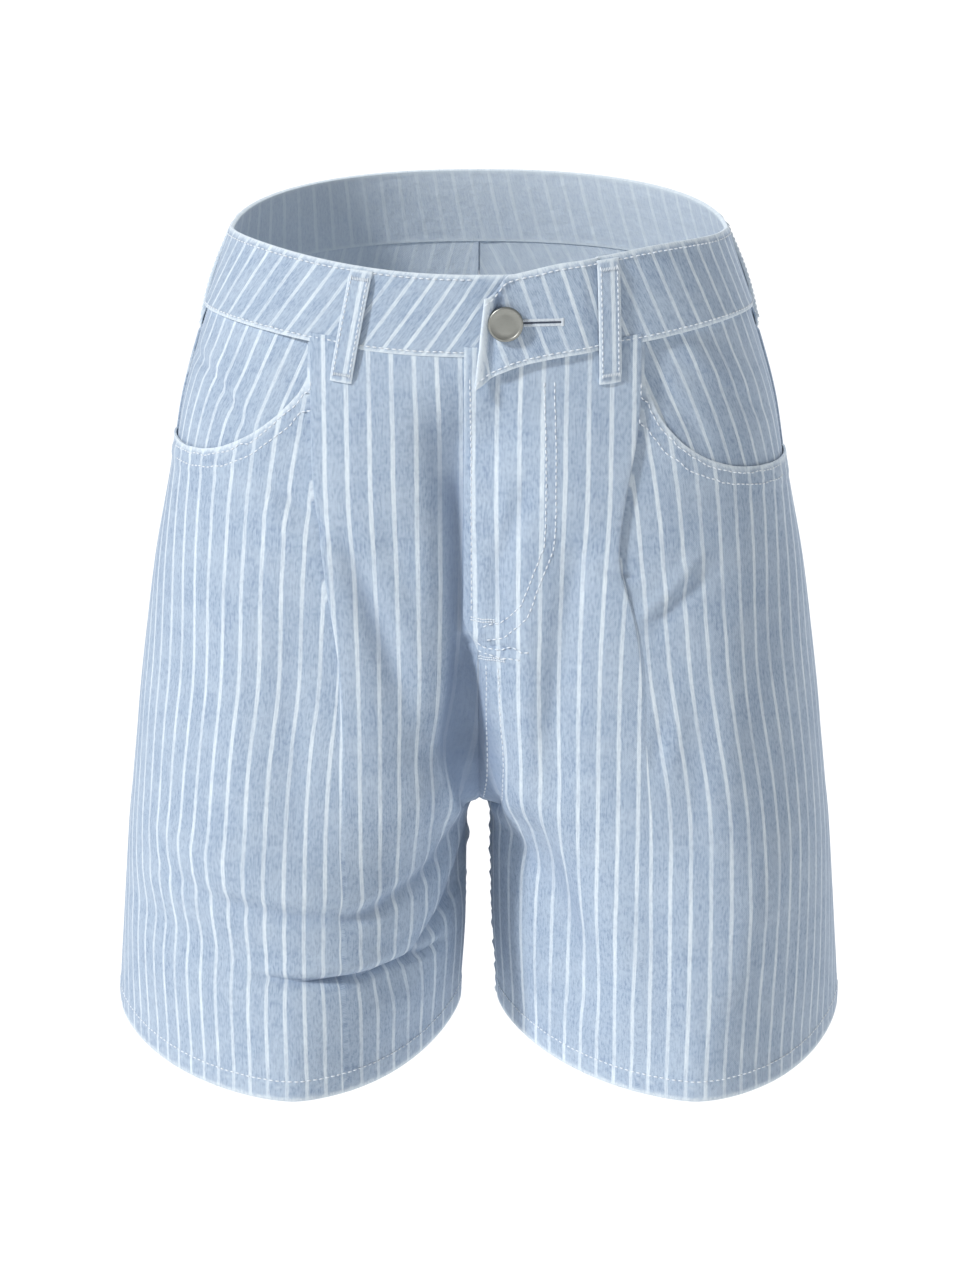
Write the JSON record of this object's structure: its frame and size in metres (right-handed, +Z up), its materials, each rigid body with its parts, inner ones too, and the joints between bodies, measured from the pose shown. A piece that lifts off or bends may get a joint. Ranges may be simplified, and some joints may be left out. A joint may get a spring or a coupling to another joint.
{
  "type": "bermuda shorts",
  "caption": "Striped denim bermuda shorts with pleated fronts, curved front pockets, patch back pockets, belt loops and a button waistband, in worn form.",
  "frame": {"origin": "middle of the waist, level with the top of the waistband at the sides, where the wearer's waist holds the shorts up", "axes": "+Z up the wearer's body, front of the shorts towards -Y, wearer's left towards +X"},
  "size_m": [0.3944, 0.2527, 0.447],
  "materials": {
    "striped_denim": "matt cotton twill, pale blue with narrow off-white warp stripes about 11 mm apart",
    "button_metal": "brushed, nickel grey"
  },
  "bodies": {
    "root": {"front_left": "striped_denim", "front_right": "striped_denim", "back_left": "striped_denim", "back_right": "striped_denim", "yoke_left": "striped_denim", "yoke_right": "striped_denim", "pocket_facing_left": "striped_denim", "pocket_facing_right": "striped_denim", "back_pocket_left": "striped_denim", "back_pocket_right": "striped_denim", "waistband": "striped_denim", "loop_front_left": "striped_denim", "loop_front_right": "striped_denim", "loop_side_left": "striped_denim", "loop_side_right": "striped_denim", "loop_back": "striped_denim", "button": "button_metal"}
  },
  "joints": []
}
